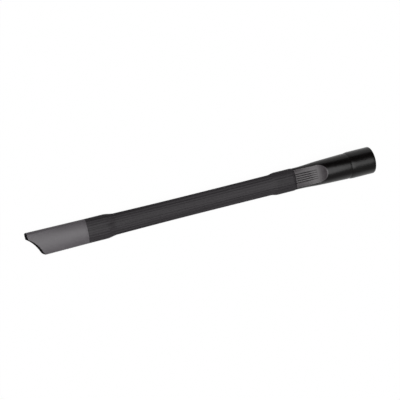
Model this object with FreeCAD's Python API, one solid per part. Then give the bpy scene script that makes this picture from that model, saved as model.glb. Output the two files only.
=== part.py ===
"""Flexible crevice tool for the 35 mm wand of a vacuum cleaner.

Three mouldings stand in line on one axis: a stiff connector that goes from a
round wand socket to a flat oval, a soft flat tube that bends round corners,
and a stiff nozzle tip with a raked, hooked mouth.  The tube's bells sit over
spigots on the two stiff pieces and meet them face to face.

Frame, in millimetres: the origin is the centre of the ledge inside the socket
on which the wand comes to rest, and +X points out of the socket.  Y runs
across the flat width, with the hook of the mouth on +Y, and Z runs through
the thickness.  Distances along the tool are measured from the socket's open
end, towards -X.
"""

import FreeCAD
import Part

import math
import os

Vector = FreeCAD.Vector
AXIS = Vector(1, 0, 0)
ORIGIN = Vector(0, 0, 0)

# Lengths along the axis
CONNECTOR_LENGTH = 133.0        # socket mouth to the seam with the tube
TUBE_LENGTH = 337.5             # seam to seam
TIP_LENGTH = 93.0               # seam to the point of the hook

# Wand socket and collar of the connector
SOCKET_BORE = 35.4              # takes the 35 mm end of a wand
SOCKET_DEPTH = 40.0
SOCKET_LEAD_IN = 1.0
STOP_LEDGE = 1.7                # width of the ledge that stops the wand
COLLAR_WALL = 3.05
COLLAR_LENGTH = 39.4
COLLAR_STEP = 0.95              # the collar stands this far proud of the neck
COLLAR_SLOPE = 3.6              # length of the slope down to the neck
COLLAR_EDGE = 1.2               # size of the two bevels round the open edge

# Flat oval sections: each broad face turns through this angle to its edge
FACE_TURN = 28.0
MOUTH_TURN = 13.0               # flatter faces at the mouth of the tip

# Soft tube
CONNECTOR_BELL_WIDTH = 34.5
CONNECTOR_BELL_THICKNESS = 16.7
CONNECTOR_SHOULDER = 11.5       # length of the slope from bell to tube
TIP_BELL_WIDTH = 36.7
TIP_BELL_THICKNESS = 16.9
TIP_SHOULDER = 17.5
BELL_LENGTH = 29.0
BELL_WALL = 1.9
TUBE_WIDTH_AT_CONNECTOR = 31.1
TUBE_WIDTH_AT_WAIST = 30.5
TUBE_WIDTH_AT_TIP = 32.2
TUBE_THICKNESS = 13.4
TUBE_WALL = 1.6
REED_COUNT = 8                  # reeds across each broad face
REED_DEPTH = 0.06               # part of the reeds' pitch

# Spigots that carry the tube
SPIGOT_LENGTH = 26.0
SPIGOT_WALL = 1.7
SPIGOT_LEAD = 1.5               # length of the tapered end
SPIGOT_CLEARANCE = 0.1          # all round, inside the bell
SEAM_LIP = 0.6                  # the bell stands this far proud of the connector
LIP_ROUND = 0.4                 # edge break of the proud bell
SEAM_BREAK = 0.25               # fine edge break of the flush seam

# Grip panel on both broad sides of the connector
GRIP_LENGTH = 53.0              # seam to the round end of the panel
GRIP_WIDTH = 28.2
GRIP_SINK = 0.4
GRIP_FLAT = 32.0                # seam to the start of the scooped end
GRIP_CROWN = 1.0                # rise of the floor across its width at the scoop
GRIP_SCOOP_RADIUS = 33.0
RIB_COUNT = 5
RIB_PITCH = 3.2
RIB_RADIUS = 1.1
RIB_HEIGHT = 0.9
RIB_LENGTH = 35.0
RIB_SETBACK = 0.4               # from the seam to the ribs' ends

# Inside of the connector
THROAT_ROUND = 70.0             # from the socket mouth to where the throat flattens
THROAT_FLAT = 102.0             # from the socket mouth to where it is flat

# Nozzle tip
MOUTH_WIDTH = 38.4
MOUTH_THICKNESS = 13.0
TIP_WALL = 1.8
TIP_CORE_TAPER = 10.0           # length over which the inside opens from the spigot
HOOK_WIDTH = 10.2               # square end of the hook
HOOK_LEAN = 0.95                # its inner corner lies this far behind its point
HEEL_SETBACK = 21.2             # the short side of the mouth lies this far back
MOUTH_HOLLOW = 3.3              # depth of the hollow curve between hook and heel
HOOK_RADIUS = 1.5
HEEL_RADIUS = 8.0

# Growth of the connector's width from its seam to its neck, in even steps
NECK_GROWTH = (0.0, 0.02, 0.11, 0.28, 0.475, 0.61, 0.71, 0.795, 0.87, 0.96, 1.0)

# Sizes that follow from those above
SOCKET_RADIUS = SOCKET_BORE / 2
THROAT_RADIUS = SOCKET_RADIUS - STOP_LEDGE
COLLAR_RADIUS = SOCKET_RADIUS + COLLAR_WALL
NECK_RADIUS = COLLAR_RADIUS - COLLAR_STEP
NECK_X = COLLAR_LENGTH + COLLAR_SLOPE
TIP_SEAM = CONNECTOR_LENGTH + TUBE_LENGTH
CUT_MARGIN = 1.0                # cutting shapes run this far past a face

# Steps that make up each long curve
SHOULDER_STEPS = 6
WAIST_STEPS = 4
NECK_STEPS = 24
THROAT_STEPS = 24
SCOOP_STEPS = 6
TIP_STEPS = 16
CORE_STEPS = 5


class Oval:
    """Flat oval of four tangent arcs, square to the axis.

    The two broad arcs turn through the same angle to each side of their
    middle.  Where width and thickness are equal the oval is a circle.
    """

    def __init__(self, width, thickness, turn=FACE_TURN):
        self.width = width
        self.thickness = thickness
        self.turn = math.radians(turn)
        spread = math.sin(self.turn) + math.cos(self.turn) - 1
        offset = (width - thickness) / 2 / spread
        self.side_radius = width / 2 - offset * math.sin(self.turn)
        self.face_radius = self.side_radius + offset

    def inset(self, amount):
        """The parallel oval that lies this far inside."""
        turn = math.degrees(self.turn)
        return Oval(self.width - 2 * amount, self.thickness - 2 * amount, turn)

    def towards(self, other, share):
        """The oval that lies a part of the way towards another."""
        width = self.width + (other.width - self.width) * share
        thickness = self.thickness + (other.thickness - self.thickness) * share
        turn = self.turn + (other.turn - self.turn) * share
        return Oval(width, thickness, math.degrees(turn))

    def on_face(self, angle, sink=0.0):
        """Y and Z of a point on the upper face, by its angle from the middle."""
        radius = self.face_radius - sink
        centre = self.thickness / 2 - self.face_radius
        return radius * math.sin(angle), centre + radius * math.cos(angle)

    def height(self, y):
        """Height of the upper face at a place across the width."""
        edge, _ = self.on_face(self.turn)
        if abs(y) <= edge:
            drop = self.face_radius - math.sqrt(self.face_radius ** 2 - y ** 2)
            return self.thickness / 2 - drop
        reach = abs(y) - (self.width / 2 - self.side_radius)
        return math.sqrt(self.side_radius ** 2 - reach ** 2)

    def wire(self, x, reeds=1, reed_depth=0.0):
        """Closed outline at a distance along the tool, with reeded faces."""
        upper = []
        steps = 2 * reeds
        pitch = 2 * self.turn * self.face_radius / reeds
        depth = reed_depth * pitch
        for step in range(steps + 1):
            angle = self.turn * (1 - 2 * step / steps)
            valley = step % 2 == 0 and 0 < step < steps
            y, z = self.on_face(angle, depth if valley else 0.0)
            upper.append(Vector(-x, y, z))
        lower = [Vector(p.x, p.y, -p.z) for p in reversed(upper)]
        half = self.width / 2
        edges = arcs_through(upper)
        edges += arcs_through([upper[-1], Vector(-x, -half, 0), lower[0]])
        edges += arcs_through(lower)
        edges += arcs_through([lower[-1], Vector(-x, half, 0), upper[0]])
        return Part.Wire(edges)


def arcs_through(points):
    """Arcs that join every second point by way of the one between."""
    edges = []
    for first in range(0, len(points) - 2, 2):
        start, middle, end = points[first:first + 3]
        edges.append(Part.Arc(start, middle, end).toShape())
    return edges


def ease(start, end, fraction):
    """Blend of two values that leaves and arrives level."""
    fraction = min(max(fraction, 0.0), 1.0)
    return start + (end - start) * fraction * fraction * (3 - 2 * fraction)


def loft(wires, ruled=True):
    """Solid through closed outlines, straight or smooth between them."""
    return Part.makeLoft(wires, True, ruled)


def spaced(start, end, count):
    """Evenly spaced distances, without the first."""
    return [start + (end - start) * step / count for step in range(1, count + 1)]


def bar(section, start, end):
    """Straight solid of one section between two distances along the tool."""
    face = Part.Face(section.wire(start))
    return face.extrude(AXIS * (start - end))


def turned(profile):
    """Solid turned about the axis from (distance, radius) corners."""
    points = [Vector(-x, radius, 0) for x, radius in profile]
    outline = Part.makePolygon(points + points[:1])
    return Part.Face(outline).revolve(ORIGIN, AXIS, 360)


def mirrored(shape):
    """The same shape on the underside."""
    return shape.mirror(ORIGIN, Vector(0, 0, 1))


# Sections shared by the pieces that meet

def connector_bell():
    return Oval(CONNECTOR_BELL_WIDTH, CONNECTOR_BELL_THICKNESS)


def tip_bell():
    return Oval(TIP_BELL_WIDTH, TIP_BELL_THICKNESS)


def spigot_in(bell):
    """Outside of the spigot that fits a bell."""
    return bell.inset(BELL_WALL + SPIGOT_CLEARANCE)


def spigot(bell, seam, direction):
    """Spigot standing out of a seam, tapered at its free end."""
    outside = spigot_in(bell)
    taper_start = seam + direction * (SPIGOT_LENGTH - SPIGOT_LEAD)
    end = seam + direction * SPIGOT_LENGTH
    body = bar(outside, seam, taper_start)
    nose = loft([outside.wire(taper_start), outside.inset(SPIGOT_WALL / 3).wire(end)])
    return body.fuse(nose)


# Soft tube

def tube_outside(distance):
    """Section of the tube at a distance from its connector seam."""
    far = TUBE_LENGTH - distance
    first = CONNECTOR_SHOULDER + BELL_LENGTH
    last = TUBE_LENGTH - TIP_SHOULDER - BELL_LENGTH
    place = 2 * (distance - first) / (last - first) - 1
    place = min(max(place, -1.0), 1.0)
    end_width = TUBE_WIDTH_AT_CONNECTOR if place < 0 else TUBE_WIDTH_AT_TIP
    width = TUBE_WIDTH_AT_WAIST + (end_width - TUBE_WIDTH_AT_WAIST) * place ** 2
    thickness = TUBE_THICKNESS
    near_bell = (first - distance) / CONNECTOR_SHOULDER
    width = ease(width, CONNECTOR_BELL_WIDTH, near_bell)
    thickness = ease(thickness, CONNECTOR_BELL_THICKNESS, near_bell)
    far_bell = (TIP_SHOULDER + BELL_LENGTH - far) / TIP_SHOULDER
    width = ease(width, TIP_BELL_WIDTH, far_bell)
    thickness = ease(thickness, TIP_BELL_THICKNESS, far_bell)
    return Oval(width, thickness)


def tube_wall(distance):
    """Wall of the tube at a distance from its connector seam."""
    far = TUBE_LENGTH - distance
    near_bell = (CONNECTOR_SHOULDER + BELL_LENGTH - distance) / CONNECTOR_SHOULDER
    far_bell = (TIP_SHOULDER + BELL_LENGTH - far) / TIP_SHOULDER
    return ease(TUBE_WALL, BELL_WALL, max(near_bell, far_bell))


def tube_stations():
    """Distances of the tube's sections between its two ends."""
    first = CONNECTOR_SHOULDER + BELL_LENGTH
    last = TUBE_LENGTH - TIP_SHOULDER - BELL_LENGTH
    stations = [BELL_LENGTH]
    stations += spaced(BELL_LENGTH, first, SHOULDER_STEPS)
    stations += spaced(first, last, WAIST_STEPS)
    stations += spaced(last, TUBE_LENGTH - BELL_LENGTH, SHOULDER_STEPS)
    return stations


def make_flexible_tube():
    """Soft tube with reeded broad faces and a bell at each end."""
    def outline(distance, inset=0.0):
        section = tube_outside(distance).inset(inset)
        return section.wire(CONNECTOR_LENGTH + distance, REED_COUNT, REED_DEPTH)

    def bore(distance):
        section = tube_outside(distance).inset(tube_wall(distance))
        return section.wire(CONNECTOR_LENGTH + distance)

    outlines = [outline(0.0, LIP_ROUND), outline(2 * LIP_ROUND)]
    outlines += [outline(place) for place in tube_stations()]
    outlines += [outline(TUBE_LENGTH - SEAM_BREAK), outline(TUBE_LENGTH, SEAM_BREAK)]
    places = [-CUT_MARGIN] + tube_stations() + [TUBE_LENGTH + CUT_MARGIN]
    return loft(outlines).cut(loft([bore(place) for place in places]))


# Connector

def neck_growth(fraction):
    """Smooth growth of the width at a part of the way from seam to neck."""
    last = len(NECK_GROWTH) - 1
    place = fraction * last
    step = min(int(place), last - 1)
    part = place - step
    start = NECK_GROWTH[step]
    end = NECK_GROWTH[step + 1]
    leave = (end - NECK_GROWTH[max(step - 1, 0)]) / 2
    arrive = (NECK_GROWTH[min(step + 2, last)] - start) / 2
    bend = 3 * (end - start) - 2 * leave - arrive
    twist = leave + arrive - 2 * (end - start)
    return start + part * (leave + part * (bend + part * twist))


def connector_outside(x):
    """Section of the connector's body at a distance from the socket mouth."""
    fraction = (CONNECTOR_LENGTH - x) / (CONNECTOR_LENGTH - NECK_X)
    fraction = min(max(fraction, 0.0), 1.0)
    flat = connector_bell().inset(SEAM_LIP)
    width = flat.width + (2 * NECK_RADIUS - flat.width) * neck_growth(fraction)
    swell = math.sin(math.pi / 2 * fraction)
    thickness = flat.thickness + (2 * NECK_RADIUS - flat.thickness) * swell
    return Oval(width, thickness)


def connector_inside(x):
    """Section of the throat at a distance from the socket mouth."""
    flat = spigot_in(connector_bell()).inset(SPIGOT_WALL)
    closing = (x - THROAT_ROUND) / (THROAT_FLAT - THROAT_ROUND)
    narrowing = (x - THROAT_ROUND) / (CONNECTOR_LENGTH - THROAT_ROUND)
    thickness = ease(2 * THROAT_RADIUS, flat.thickness, closing)
    width = ease(2 * THROAT_RADIUS, flat.width, narrowing)
    return Oval(width, thickness)


def grip_floor(x):
    """Middle and edge heights of the panel's floor at a distance."""
    seam = connector_outside(CONNECTOR_LENGTH)
    middle_at_seam = seam.thickness / 2 - GRIP_SINK
    edge_at_seam = seam.height(GRIP_WIDTH / 2) - GRIP_SINK
    scoop_x = CONNECTOR_LENGTH - GRIP_FLAT
    edge_at_scoop = connector_outside(scoop_x).height(GRIP_WIDTH / 2) - GRIP_SINK
    middle_at_scoop = edge_at_scoop + GRIP_CROWN
    along = min((CONNECTOR_LENGTH - x) / GRIP_FLAT, 1.0)
    past = max(scoop_x - x, 0.0)
    slope = (middle_at_scoop - middle_at_seam) / GRIP_FLAT
    rise = slope * past + GRIP_SCOOP_RADIUS - math.sqrt(GRIP_SCOOP_RADIUS ** 2 - past ** 2)
    middle = middle_at_seam + (middle_at_scoop - middle_at_seam) * along + rise
    edge = edge_at_seam + (edge_at_scoop - edge_at_seam) * along + rise
    return middle, edge


def grip_floor_radius(x):
    """Radius of the floor's crown at a distance."""
    middle, edge = grip_floor(x)
    crown = middle - edge
    return ((GRIP_WIDTH / 2) ** 2 + crown ** 2) / (2 * crown)


def above_grip_floor(x):
    """Outline of the space over the panel's floor at a distance."""
    reach = GRIP_WIDTH / 2 + CUT_MARGIN
    top = COLLAR_RADIUS + CUT_MARGIN
    middle, _ = grip_floor(x)
    radius = grip_floor_radius(x)
    low = middle - radius + math.sqrt(radius ** 2 - reach ** 2)
    right, left = Vector(-x, reach, low), Vector(-x, -reach, low)
    top_right, top_left = Vector(-x, reach, top), Vector(-x, -reach, top)
    floor = Part.Arc(left, Vector(-x, 0, middle), right).toShape()
    corners = [right, top_right, top_left, left]
    sides = [Part.makeLine(first, second) for first, second in zip(corners, corners[1:])]
    return Part.Wire([floor] + sides)


def grip_pocket():
    """What is taken off the upper side to leave the grip panel."""
    half = GRIP_WIDTH / 2
    start_x = CONNECTOR_LENGTH + CUT_MARGIN
    scoop_x = CONNECTOR_LENGTH - GRIP_FLAT
    end_x = CONNECTOR_LENGTH - GRIP_LENGTH
    round_x = end_x + half
    over_flat = loft([above_grip_floor(start_x), above_grip_floor(scoop_x)])
    scoop_places = [scoop_x] + spaced(scoop_x, end_x - CUT_MARGIN, SCOOP_STEPS)
    over_scoop = loft([above_grip_floor(x) for x in scoop_places], ruled=False)
    near_start, far_start = Vector(-start_x, -half, 0), Vector(-start_x, half, 0)
    near_round, far_round = Vector(-round_x, -half, 0), Vector(-round_x, half, 0)
    outline = Part.Wire([
        Part.makeLine(near_start, near_round),
        Part.Arc(near_round, Vector(-end_x, 0, 0), far_round).toShape(),
        Part.makeLine(far_round, far_start),
        Part.makeLine(far_start, near_start),
    ])
    plan = Part.Face(outline).extrude(Vector(0, 0, COLLAR_RADIUS))
    return over_flat.fuse(over_scoop).common(plan)


def grip_ribs():
    """Half-round ribs with sloped ends that lie along the floor of the upper panel."""
    ribs = []
    start_x = CONNECTOR_LENGTH - RIB_SETBACK - RIB_RADIUS
    end_x = CONNECTOR_LENGTH - RIB_LENGTH + RIB_RADIUS
    for number in range(RIB_COUNT):
        y = (number - (RIB_COUNT - 1) / 2) * RIB_PITCH
        ends = []
        for x, on_x in ((start_x, start_x), (end_x, CONNECTOR_LENGTH - GRIP_FLAT)):
            middle, _ = grip_floor(max(x, on_x))
            radius = grip_floor_radius(max(x, on_x))
            floor = middle - radius + math.sqrt(radius ** 2 - y ** 2)
            ends.append(Vector(-x, y, floor + RIB_HEIGHT - RIB_RADIUS))
        run = ends[1] - ends[0]
        rib = Part.makeCylinder(RIB_RADIUS, run.Length, ends[0], run)
        near_cap = Part.makeCone(RIB_RADIUS, RIB_RADIUS / 3, RIB_RADIUS, ends[0], -run)
        far_cap = Part.makeCone(RIB_RADIUS, RIB_RADIUS / 3, RIB_RADIUS, ends[1], run)
        ribs.append(rib.fuse([near_cap, far_cap]))
    return ribs


def make_connector():
    """Round wand socket that flattens to the spigot for the tube."""
    bevel = 0.3 * COLLAR_EDGE
    collar = turned([
        (0.0, 0.0), (0.0, COLLAR_RADIUS - COLLAR_EDGE), (bevel, COLLAR_RADIUS - bevel),
        (COLLAR_EDGE, COLLAR_RADIUS), (COLLAR_LENGTH, COLLAR_RADIUS),
        (NECK_X, NECK_RADIUS), (NECK_X, 0.0),
    ])
    places = [CONNECTOR_LENGTH] + spaced(CONNECTOR_LENGTH, NECK_X, NECK_STEPS)
    body = loft([connector_outside(x).wire(x) for x in places])
    body = body.fuse([collar, spigot(connector_bell(), CONNECTOR_LENGTH, 1)])
    pocket = grip_pocket()
    body = body.cut([pocket, mirrored(pocket)])
    ribs = grip_ribs()
    body = body.fuse(ribs + [mirrored(rib) for rib in ribs])
    socket = turned([
        (-CUT_MARGIN, 0.0), (-CUT_MARGIN, SOCKET_RADIUS + SOCKET_LEAD_IN + CUT_MARGIN),
        (SOCKET_LEAD_IN, SOCKET_RADIUS), (SOCKET_DEPTH, SOCKET_RADIUS), (SOCKET_DEPTH, 0.0),
    ])
    places = [SOCKET_DEPTH, THROAT_ROUND] + spaced(THROAT_ROUND, CONNECTOR_LENGTH, THROAT_STEPS)
    throat = loft([connector_inside(x).wire(x) for x in places])
    flat = connector_inside(CONNECTOR_LENGTH)
    passage = bar(flat, CONNECTOR_LENGTH, CONNECTOR_LENGTH + SPIGOT_LENGTH + CUT_MARGIN)
    return body.cut([socket, throat, passage]).removeSplitter()


# Nozzle tip

def tip_outside(distance):
    """Section of the tip at a distance from its seam."""
    along = distance / TIP_LENGTH
    width = TIP_BELL_WIDTH + (MOUTH_WIDTH - TIP_BELL_WIDTH) * along
    thickness = TIP_BELL_THICKNESS + (MOUTH_THICKNESS - TIP_BELL_THICKNESS) * along
    return Oval(width, thickness, FACE_TURN + (MOUTH_TURN - FACE_TURN) * along)


def mouth_cutter():
    """What is taken off the front to leave the hooked and raked mouth."""
    point_x = TIP_SEAM + TIP_LENGTH
    half = MOUTH_WIDTH / 2
    side = half + 0.1
    clear = half + 10.0
    front = point_x + 10.0
    hook_y = half - HOOK_WIDTH
    lean = HOOK_LEAN / HOOK_WIDTH
    hook_top = Vector(-(point_x + lean * (side - half)), side, 0)
    hook_corner = Vector(-(point_x - HOOK_LEAN), hook_y, 0)
    heel = Vector(-(point_x - HEEL_SETBACK), -side, 0)
    chord = heel - hook_corner
    inward = Vector(-chord.y, chord.x, 0)
    inward.normalize()
    hollow = hook_corner + chord * 0.5 + inward * MOUTH_HOLLOW
    behind_hook = -(point_x - 3 * HOOK_RADIUS)
    behind_heel = -(point_x - HEEL_SETBACK - 2 * HEEL_RADIUS)
    around = [
        (behind_heel, -side), (behind_heel, -clear), (-front, -clear),
        (-front, clear), (behind_hook, clear), (behind_hook, side),
    ]
    corners = [heel] + [Vector(x, y, 0) for x, y in around] + [hook_top, hook_corner]
    edges = [Part.makeLine(first, second) for first, second in zip(corners, corners[1:])]
    edges.append(Part.Arc(hook_corner, hollow, heel).toShape())
    tall = TIP_BELL_THICKNESS
    outline = Part.Face(Part.Wire(edges))
    outline.translate(Vector(0, 0, -tall))
    cutter = outline.extrude(Vector(0, 0, 2 * tall))
    cutter = rounded_upright(cutter, hook_top, HOOK_RADIUS)
    cutter = rounded_upright(cutter, hook_corner, HOOK_RADIUS)
    return rounded_upright(cutter, heel, HEEL_RADIUS)


def rounded_upright(solid, place, radius):
    """The solid with the upright edge at a place rounded."""
    for edge in solid.Edges:
        middle = edge.CenterOfMass
        flat_distance = math.hypot(middle.x - place.x, middle.y - place.y)
        if flat_distance < 1e-6 and edge.BoundBox.ZLength > 1.0:
            return solid.makeFillet(radius, [edge])
    return solid


def make_nozzle_tip():
    """Stiff flat nozzle with a spigot at the back and a hooked mouth."""
    def outline(distance, inset=0.0):
        return tip_outside(distance).inset(inset).wire(TIP_SEAM + distance)

    past_point = TIP_LENGTH + 2 * CUT_MARGIN
    outlines = [outline(0.0, SEAM_BREAK), outline(SEAM_BREAK)]
    outlines += [outline(place) for place in spaced(SEAM_BREAK, past_point, TIP_STEPS)]
    body = loft(outlines).fuse(spigot(tip_bell(), TIP_SEAM, -1))
    flat = spigot_in(tip_bell()).inset(SPIGOT_WALL)
    passage = bar(flat, TIP_SEAM - SPIGOT_LENGTH - CUT_MARGIN, TIP_SEAM)
    opened = tip_outside(TIP_CORE_TAPER).inset(TIP_WALL)
    core = [flat.wire(TIP_SEAM)]
    for place in spaced(0.0, TIP_CORE_TAPER, CORE_STEPS):
        core.append(flat.towards(opened, place / TIP_CORE_TAPER).wire(TIP_SEAM + place))
    for place in spaced(TIP_CORE_TAPER, past_point + CUT_MARGIN, TIP_STEPS):
        core.append(outline(place, TIP_WALL))
    return body.cut([passage, loft(core), mouth_cutter()]).removeSplitter()


def write_piece(name, solid):
    """Write one piece, moved so that the wand's ledge is at the origin."""
    solid.translate(AXIS * SOCKET_DEPTH)
    solid.exportStep("parts/" + name + ".step")


def main():
    """Write one solid per piece."""
    os.makedirs("parts", exist_ok=True)
    write_piece("connector", make_connector())
    write_piece("flexible_tube", make_flexible_tube())
    write_piece("nozzle_tip", make_nozzle_tip())


main()
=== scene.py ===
"""Looks of a flexible crevice tool: three black mouldings in line on a white studio floor.

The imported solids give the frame.  Each moulding is built again as one closed
shell with rounded edges, so that light runs over its lips, reeds and grip
panels as it does on the real part, and each stands for the solid of its name.

Sizes are in millimetres.  A distance runs along the tool from the open end of
its socket, towards -X; Y runs across the flat width and Z through the
thickness.
"""

import logging
import math
from dataclasses import dataclass, field
from enum import Enum
from typing import Any, Iterable, Optional

import bmesh
import bpy
from bmesh.types import BMEdge, BMVert
from bpy.types import Material, Node, NodeSocket, NodeTree, Object
from mathutils import Matrix, Vector

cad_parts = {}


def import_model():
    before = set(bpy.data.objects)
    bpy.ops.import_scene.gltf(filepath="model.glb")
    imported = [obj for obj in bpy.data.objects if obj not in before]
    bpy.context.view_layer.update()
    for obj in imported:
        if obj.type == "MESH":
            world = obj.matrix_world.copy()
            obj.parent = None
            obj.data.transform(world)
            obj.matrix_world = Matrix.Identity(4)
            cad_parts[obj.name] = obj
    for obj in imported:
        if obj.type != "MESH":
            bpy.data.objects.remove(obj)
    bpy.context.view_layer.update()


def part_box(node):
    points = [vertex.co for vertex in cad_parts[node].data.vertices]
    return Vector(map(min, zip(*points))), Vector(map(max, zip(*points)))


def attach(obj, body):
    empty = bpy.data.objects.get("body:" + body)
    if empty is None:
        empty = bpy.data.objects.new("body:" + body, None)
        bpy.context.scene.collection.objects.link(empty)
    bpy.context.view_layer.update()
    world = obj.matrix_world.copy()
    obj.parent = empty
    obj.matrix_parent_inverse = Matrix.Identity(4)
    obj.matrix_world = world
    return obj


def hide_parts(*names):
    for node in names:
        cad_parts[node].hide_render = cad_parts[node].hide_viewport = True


LOG = logging.getLogger("crevice_tool")
MM = 0.001
BODY = "root"
WHITE = "#ffffff"


def eased(start: float, end: float, fraction: float) -> float:
    """Blend from the start at fraction 0 to the end at 1, leaving and arriving level."""
    fraction = min(max(fraction, 0.0), 1.0)
    return start + (end - start) * fraction * fraction * (3 - 2 * fraction)


def steps(start: float, end: float, count: int) -> list[float]:
    """Divide a stretch evenly: the values after each step, without the start."""
    return [start + (end - start) * step / count for step in range(1, count + 1)]


def chained(marks: tuple[float, ...], counts: tuple[int, ...]) -> list[float]:
    """Divide the stretches from mark to mark, each into its count of steps, without the first mark."""
    stretches = zip(marks, marks[1:], counts)
    return [place for start, end, count in stretches for place in steps(start, end, count)]


def rounding(length: float, depth: float, count: int = 4) -> list[tuple[float, float]]:
    """Walk round an edge: pairs of the distance behind the end face and the inset from the side."""
    angles = [math.pi / 2 * step / count for step in range(count + 1)]
    return [(length * (1 - math.cos(a)), depth * (1 - math.sin(a))) for a in angles]


def put(name: str, data: Any) -> Object:
    """Put a mesh, lamp or camera into the scene.

    Args:
        name: Name of the object.
        data: What the object shows.

    Returns:
        The object.
    """
    made = bpy.data.objects.new(name, data)
    bpy.context.scene.collection.objects.link(made)
    return made


class Zone(Enum):
    """Quarters of a section's outline, in the order that a ring runs through them."""

    UPPER_FACE = 0
    NEAR_SIDE = 1
    LOWER_FACE = 2
    HOOK_SIDE = 3

    @property
    def broad(self) -> bool:
        """Whether it is one of the two broad faces."""
        return self in (Zone.UPPER_FACE, Zone.LOWER_FACE)


@dataclass(frozen=True)
class Oval:
    """Flat oval of four tangent arcs; a circle where width and thickness are equal."""

    width: float  # Size along Y.
    thickness: float  # Size along Z.
    turn: float = 28.0  # Degrees through which a broad face turns from its middle to its edge.

    @property
    def lean(self) -> float:
        """Lean of the normal at the edge of a broad face, in radians."""
        return math.radians(self.turn)

    @property
    def offset(self) -> float:
        """How much larger the faces' radius is than the sides'."""
        spread = math.sin(self.lean) + math.cos(self.lean) - 1
        return (self.width - self.thickness) / 2 / spread

    @property
    def side_radius(self) -> float:
        """Radius of the two narrow arcs."""
        return self.width / 2 - self.offset * math.sin(self.lean)

    @property
    def face_radius(self) -> float:
        """Radius of the two broad arcs."""
        return self.side_radius + self.offset

    def inset(self, amount: float) -> "Oval":
        """The parallel oval that lies this far inside."""
        return Oval(self.width - 2 * amount, self.thickness - 2 * amount, self.turn)

    def toward(self, other: "Oval", share: float) -> "Oval":
        """The oval that lies this share of the way towards another one."""
        pairs = zip((self.width, self.thickness, self.turn), (other.width, other.thickness, other.turn))
        return Oval(*(mine + (theirs - mine) * share for mine, theirs in pairs))

    def point(self, lean: float) -> tuple[float, float]:
        """Find the point whose normal leans this far.

        Args:
            lean: Radians from straight up towards +Y, within half a turn.

        Returns:
            Y and Z of the point.
        """
        if abs(lean) <= self.lean:
            radius, y, z = self.face_radius, 0.0, self.thickness / 2 - self.face_radius
        elif abs(lean) >= math.pi - self.lean:
            radius, y, z = self.face_radius, 0.0, self.face_radius - self.thickness / 2
        else:
            side = math.copysign(self.width / 2 - self.side_radius, lean)
            radius, y, z = self.side_radius, side, 0.0
        return y + radius * math.sin(lean), z + radius * math.cos(lean)

    def lean_at(self, y: float) -> float:
        """Find how far the upper outline's normal leans.

        Args:
            y: Place across the width.

        Returns:
            Radians from straight up towards +Y.
        """
        if abs(y) <= self.face_radius * math.sin(self.lean):
            return math.asin(y / self.face_radius)
        centre = self.width / 2 - self.side_radius
        return math.copysign(math.asin((abs(y) - centre) / self.side_radius), y)

    def around(self, zone: Zone, fraction: float, reach: Optional[float] = None) -> tuple[float, float]:
        """Find a point by its place on the way round.

        Args:
            zone: Quarter of the outline.
            fraction: Place in that quarter, from 0 to 1.
            reach: Half width over which the broad faces are divided evenly
                along Y; without it they are divided by angle to their edges.

        Returns:
            Y and Z of the point.
        """
        edge = self.lean if reach is None else self.lean_at(reach)
        if not zone.broad:
            lean = edge + fraction * (math.pi - 2 * edge)
            return self.point(-lean if zone is Zone.NEAR_SIDE else math.pi - lean)
        across = 1 - 2 * fraction
        lean = edge * across if reach is None else self.lean_at(reach * across)
        y, z = self.point(lean)
        return (y, z) if zone is Zone.UPPER_FACE else (-y, -z)


@dataclass(frozen=True)
class ToolFrame:
    """Where the three mouldings lie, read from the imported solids."""

    mouth_x: float  # X of the socket's open end, in metres.
    connector_seam: float  # Distance of the seam between connector and tube.
    tip_seam: float  # Distance of the seam between tube and nozzle tip.
    point: float  # Distance of the hook's end.
    lap: float = 2.2  # How far the soft bell is pushed on past the seam at the connector.

    @property
    def bell_edge(self) -> float:
        """Distance of the bell's edge at the connector."""
        return self.connector_seam - self.lap

    @classmethod
    def read(cls) -> "ToolFrame":
        """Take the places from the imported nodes.

        Returns:
            The frame of the three mouldings.
        """
        mouth_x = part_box("connector")[1].x
        tube_low, tube_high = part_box("flexible_tube")
        tip_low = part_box("nozzle_tip")[0]
        return cls(
            mouth_x=mouth_x,
            connector_seam=(mouth_x - tube_high.x) / MM,
            tip_seam=(mouth_x - tube_low.x) / MM,
            point=(mouth_x - tip_low.x) / MM,
        )

    def place(self, distance: float, y: float, z: float) -> Vector:
        """Turn a distance along the tool, Y and Z into a point in metres."""
        return Vector((self.mouth_x - distance * MM, y * MM, z * MM))


@dataclass(frozen=True)
class RingPlan:
    """How a ring of points is shared out over a section's outline."""

    face_steps: int  # Steps across each broad face.
    side_steps: int  # Steps round each narrow side.

    @property
    def count(self) -> int:
        """Points in a ring."""
        return 2 * (self.face_steps + self.side_steps)

    def places(self) -> Iterable[tuple[Zone, float]]:
        """Walk round the outline.

        Yields:
            The zone of each point and the fraction in it.
        """
        for zone in Zone:
            count = self.face_steps if zone.broad else self.side_steps
            for step in range(count):
                yield zone, step / count

    def ring(
        self, frame: ToolFrame, distance: float, section: Oval, reach: Optional[float] = None,
    ) -> list[Vector]:
        """Points of a plain ring, square to the axis; the reach is as in Oval.around."""
        places = [section.around(zone, fraction, reach) for zone, fraction in self.places()]
        return [frame.place(distance, y, z) for y, z in places]


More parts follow.
